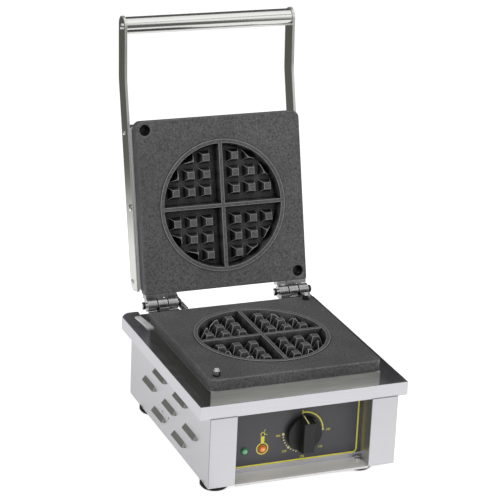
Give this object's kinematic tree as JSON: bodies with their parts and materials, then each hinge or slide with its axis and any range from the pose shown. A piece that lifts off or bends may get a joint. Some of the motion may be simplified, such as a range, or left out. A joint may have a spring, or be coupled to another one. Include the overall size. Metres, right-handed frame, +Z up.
{
  "type": "waffle iron",
  "caption": "Free-standing round waffle iron with deep cast plates, a lid that swings back on hinges, a drip tray and a thermostat knob.",
  "frame": {"origin": "on the standing plane, under the middle of the overall box with the lid open", "axes": "+X right, +Y back, +Z up, seen from the knob's side"},
  "size_m": [0.305, 0.4371, 0.557],
  "materials": {
    "stainless_sheet": "brushed",
    "steel_bar": "brushed",
    "cast_plate": "fine grained, baked on",
    "machined_steel": "machined",
    "fasteners": "bright",
    "black_steel": "blackened",
    "panel_film": "satin printed film",
    "black_plastic": "satin",
    "hidden_plastic": "plain",
    "heater_steel": "heat stained",
    "copper_line": "plain",
    "green_lens": "clear lens",
    "orange_lens": "clear lens",
    "foot_rubber": "matte",
    "conduit_steel": "ribbed"
  },
  "bodies": {
    "base": {"left_side_panel": "stainless_sheet", "right_side_panel": "stainless_sheet", "rear_panel": "stainless_sheet", "bottom_panel": "stainless_sheet", "drip_tray": "stainless_sheet", "lower_heater_pan": "stainless_sheet", "plate_bracket_left": "steel_bar", "lower_plate": "cast_plate", "lower_hinge_left": "machined_steel", "lower_hinge_right": "machined_steel", "lower_hinge_screws": "machined_steel", "locating_pegs": "machined_steel", "foot_screws": "fasteners", "rear_panel_screws": "fasteners", "hinge_pin_left": "fasteners", "hinge_pin_right": "fasteners", "lower_clamp_studs": "fasteners", "hinge_pin_nuts": "black_steel", "control_panel": "panel_film", "conduit_bush": "black_plastic", "cord_gland": "black_plastic", "thermostat_body": "hidden_plastic", "terminal_block": "hidden_plastic", "safety_cutout": "hidden_plastic", "lower_element": "heater_steel", "lower_element_clamp": "heater_steel", "thermostat_bulb": "copper_line", "green_pilot_lamp": "green_lens", "orange_pilot_lamp": "orange_lens", "rubber_feet": "foot_rubber", "flex_conduit": "conduit_steel"},
    "lid": {"upper_plate": "cast_plate", "upper_element": "heater_steel", "upper_element_clamp": "heater_steel", "upper_clamp_studs": "fasteners", "upper_cover": "stainless_sheet", "handle_arm_left": "steel_bar", "handle_arm_right": "steel_bar", "handle_tube": "steel_bar", "handle_plugs": "black_plastic", "cover_screws": "fasteners", "arm_bolts": "fasteners", "handle_screws": "fasteners", "conduit_gland": "black_plastic", "upper_hinge_left": "machined_steel", "upper_hinge_right": "machined_steel", "upper_hinge_screws": "machined_steel"},
    "dial": {"thermostat_shaft": "fasteners", "control_knob": "black_plastic"}
  },
  "joints": [
    {"name": "lid_hinge", "type": "hinge", "parent": "base", "child": "lid", "pos_m": [0, 0.08293, 0.156], "axis": [1, 0, 0], "range_deg": [0, 104.5], "deforming": ["flex_conduit"]},
    {"name": "dial_turn", "type": "hinge", "parent": "base", "child": "dial", "pos_m": [0.0115, -0.18707, 0.0589], "axis": [0, 1, 0], "range_deg": [0, 270]}
  ]
}
